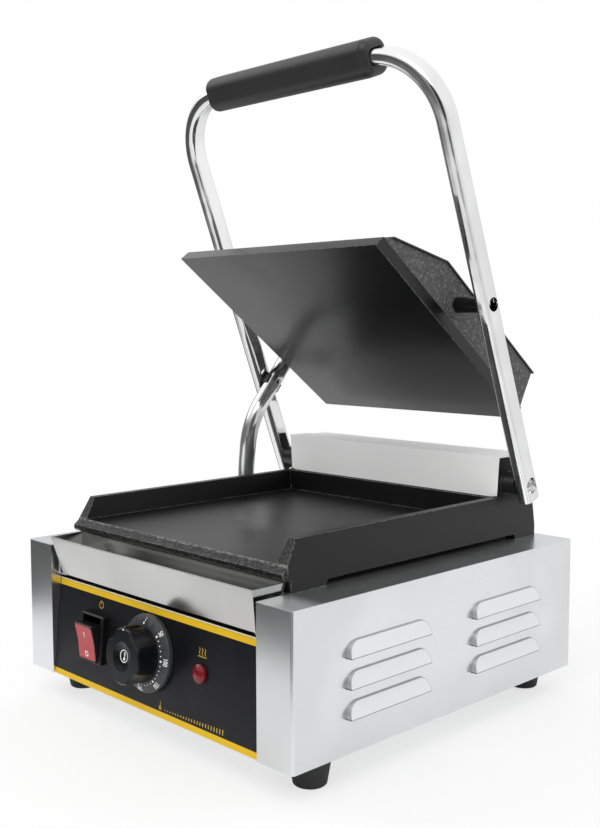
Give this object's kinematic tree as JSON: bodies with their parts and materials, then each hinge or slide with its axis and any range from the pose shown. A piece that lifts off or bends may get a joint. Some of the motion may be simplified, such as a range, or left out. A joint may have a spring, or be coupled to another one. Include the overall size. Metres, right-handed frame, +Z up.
{
  "type": "contact grill",
  "caption": "Countertop contact grill with a smooth cast griddle, a floating upper plate in a hinged U handle frame, louvred sides and a front grease tray.",
  "frame": {"origin": "under the middle of the whole grill with its lid open, on the plane that the feet stand on", "axes": "+Z up, the controls face -Y, +X is the operator's right"},
  "size_m": [0.298, 0.3202, 0.4726],
  "materials": {
    "stainless": "satin folded sheet",
    "stainless_bright": "bright folded sheet",
    "rubber": "matte",
    "zinc": "zinc plated",
    "panel_black": "printed satin film with two yellow stripes",
    "plastic_black": "matte",
    "plastic_white": "matte",
    "rocker_red": "glossy",
    "dial_grey": "satin with printed numbers",
    "knob_black": "satin",
    "lens_red": "glossy",
    "cast_iron_lower": "satin enamel, rough rim",
    "cast_iron_upper": "machined face, rough cast sides",
    "cover_dark": "satin",
    "element": "dull tube",
    "clamp_steel": "dull",
    "insulation": "mineral mat",
    "shaft_steel": "turned",
    "bush_dark": "oiled sintered metal",
    "spacer_black": "black oxide",
    "spring_steel": "drawn wire",
    "tube_chrome": "polished",
    "grip_black": "matte",
    "conduit_metal": "polished hose"
  },
  "bodies": {
    "base": {"housing_shell": "stainless", "rear_panel": "stainless", "bottom_plate": "stainless", "spring_box": "stainless_bright", "tray_runners": "stainless", "heat_shield": "stainless", "foot_front_left": "rubber", "foot_front_right": "rubber", "foot_rear_left": "rubber", "foot_rear_right": "rubber", "foot_screws": "zinc", "rear_screws": "zinc", "clamp_nuts": "zinc", "control_panel": "panel_black", "switch_housing": "plastic_black", "dial_bezel": "dial_grey", "thermostat_body": "plastic_black", "lamp_lens": "lens_red", "lamp_body": "plastic_black", "terminal_block": "plastic_white", "cord_gland": "plastic_black", "lower_casting": "cast_iron_lower", "lower_element": "element", "lower_clamp_plate": "clamp_steel", "hinge_bush_left": "bush_dark", "hinge_bush_right": "bush_dark", "spring_left": "spring_steel", "spring_right": "spring_steel", "conduit_gland_base": "conduit_metal", "conduit_lower": "conduit_metal"},
    "lid_frame": {"handle_frame": "tube_chrome", "handle_grip": "grip_black", "hinge_shaft": "shaft_steel", "hinge_bolts": "zinc", "hinge_spacer_left": "spacer_black", "hinge_spacer_right": "spacer_black", "spring_collar_left": "shaft_steel", "spring_collar_right": "shaft_steel", "conduit_clip": "cover_dark", "conduit_upper": "conduit_metal"},
    "upper_plate": {"upper_casting": "cast_iron_upper", "upper_cover": "cover_dark", "cover_screws": "zinc", "upper_element": "element", "upper_clamp_plate": "clamp_steel", "upper_insulation": "insulation", "plate_pins": "shaft_steel", "pin_sleeve_left": "plastic_black", "pin_sleeve_right": "plastic_black", "conduit_gland_plate": "conduit_metal"},
    "knob": {"control_knob": "knob_black", "thermostat_shaft": "zinc"},
    "rocker": {"switch_rocker": "rocker_red"},
    "tray": {"grease_tray": "stainless_bright"}
  },
  "joints": [
    {"name": "lid_hinge", "type": "hinge", "parent": "base", "child": "lid_frame", "pos_m": [0, 0.11146, 0.161], "axis": [1, 0, 0], "range_deg": [0, 70.9], "stiffness_Nm_per_rad": 1.65, "springref_deg": -103.13, "deforming": ["conduit_lower", "spring_left", "spring_right"]},
    {"name": "plate_levelling", "type": "hinge", "parent": "lid_frame", "child": "upper_plate", "pos_m": [0, 0.06093, 0.29263], "axis": [-1, 0, 0], "range_deg": [0, 34], "deforming": ["conduit_upper"]},
    {"name": "knob_turn", "type": "hinge", "parent": "base", "child": "knob", "pos_m": [0.0005, -0.13584, 0.05981], "axis": [0, 0.9952, -0.0976], "range_deg": [0, 276]},
    {"name": "rocker_tilt", "type": "hinge", "parent": "base", "child": "rocker", "pos_m": [-0.064, -0.13517, 0.05633], "axis": [-1, 0, 0], "range_deg": [0, 28]},
    {"name": "tray_slide", "type": "slide", "parent": "base", "child": "tray", "axis": [0, -1, 0], "range_m": [0, 0.06]}
  ],
  "couplings": [
    {"joint": "plate_levelling", "follows": "lid_hinge", "ratio": 0.47673}
  ]
}
